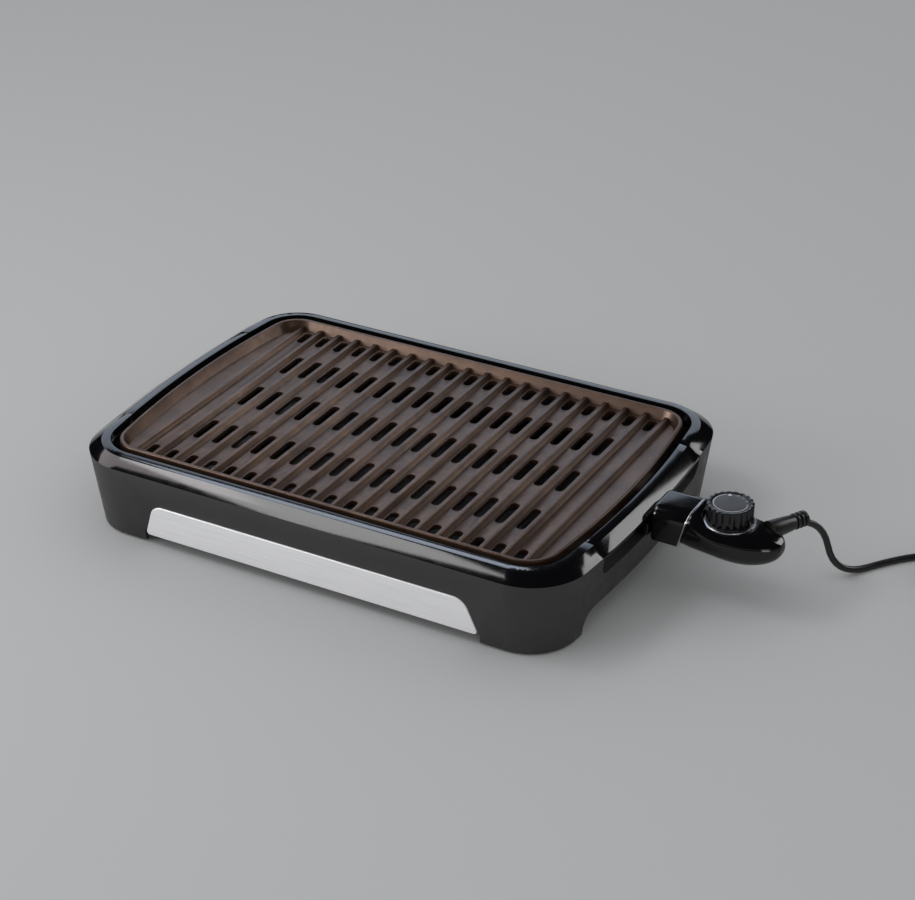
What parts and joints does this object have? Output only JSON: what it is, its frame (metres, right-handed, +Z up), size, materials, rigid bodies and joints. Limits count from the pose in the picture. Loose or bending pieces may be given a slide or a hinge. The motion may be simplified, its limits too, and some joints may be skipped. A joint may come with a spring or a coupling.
{
  "type": "electric griddle",
  "caption": "Table-top electric grill with a ribbed, slotted plate in a black base, a pull-out drip tray, side handles and a plug-in heat control on a lead.",
  "frame": {"origin": "on the surface the griddle stands on, under the middle of the griddle with its heat control, the lead left out", "axes": "+X along the length towards the heat control, -Y towards the front with the drip tray's silver panel, +Z up"},
  "size_m": [0.7512, 0.3258, 0.087],
  "materials": {
    "skirt_plastic": "fine matte grain, dark grey",
    "rim_gloss": "polished black",
    "sheet_steel": "plain sheet",
    "silicone": "matte",
    "nonstick_plate": "bronze brown non-stick coating, satin",
    "element_sheath": "dull drawn tube",
    "plated_brass": "nickel plated, bright",
    "screw_steel": "zinc plated",
    "control_plastic": "satin black",
    "collar_plastic": "satin chrome plating",
    "thermostat_case": "moulded brown",
    "dial_plastic": "satin black, fluted",
    "dial_face": "smooth dark grey with light marks",
    "lead_sleeve": "satin black",
    "plug_rubber": "satin black",
    "tray_metal": "dark coating",
    "panel_metal": "brushed silver"
  },
  "bodies": {
    "base": {"base_skirt": "skirt_plastic", "rim": "rim_gloss", "drip_funnel": "tray_metal", "tray_rail_left": "sheet_steel", "tray_rail_right": "sheet_steel", "plate_pads": "silicone", "rubber_feet": "silicone"},
    "grill_plate": {"grill_plate": "nonstick_plate", "heating_element": "element_sheath", "element_clamps": "sheet_steel", "terminal_guard": "sheet_steel", "terminal_pins": "plated_brass", "feeler_sleeve": "nonstick_plate", "handle_left": "rim_gloss", "handle_right": "rim_gloss", "handle_straps_left": "sheet_steel", "handle_straps_right": "sheet_steel", "handle_screws_left": "screw_steel", "handle_screws_right": "screw_steel"},
    "control_probe": {"probe_neck": "control_plastic", "feeler_rod": "screw_steel", "probe_collar": "collar_plastic", "probe_lower_shell": "control_plastic", "probe_upper_shell": "control_plastic", "thermostat": "thermostat_case", "dial_bezel": "collar_plastic", "shell_screws": "screw_steel", "strain_relief": "lead_sleeve", "cord_tube": "lead_sleeve", "cord_coil": "lead_sleeve", "cord_tail": "lead_sleeve", "plug_body": "plug_rubber", "plug_pins": "plated_brass", "plug_earth_clips": "plated_brass"},
    "dial": {"dial_knob": "dial_plastic", "dial_cap": "dial_face", "dial_shaft": "screw_steel"},
    "drip_tray": {"drip_tray": "tray_metal", "tray_front_panel": "panel_metal", "panel_blocks": "skirt_plastic"}
  },
  "joints": [
    {"name": "plate_lift", "type": "slide", "parent": "base", "child": "grill_plate", "axis": [0, 0, 1], "range_m": [0, 0.08]},
    {"name": "tray_slide", "type": "slide", "parent": "base", "child": "drip_tray", "axis": [0, -1, 0], "range_m": [0, 0.25]},
    {"name": "control_slide", "type": "slide", "parent": "grill_plate", "child": "control_probe", "axis": [1, 0, 0], "range_m": [0, 0.09]},
    {"name": "dial_turn", "type": "hinge", "parent": "control_probe", "child": "dial", "pos_m": [0.2398, 0, 0.08], "axis": [0, 0, 1], "range_deg": [-270, 0]}
  ]
}
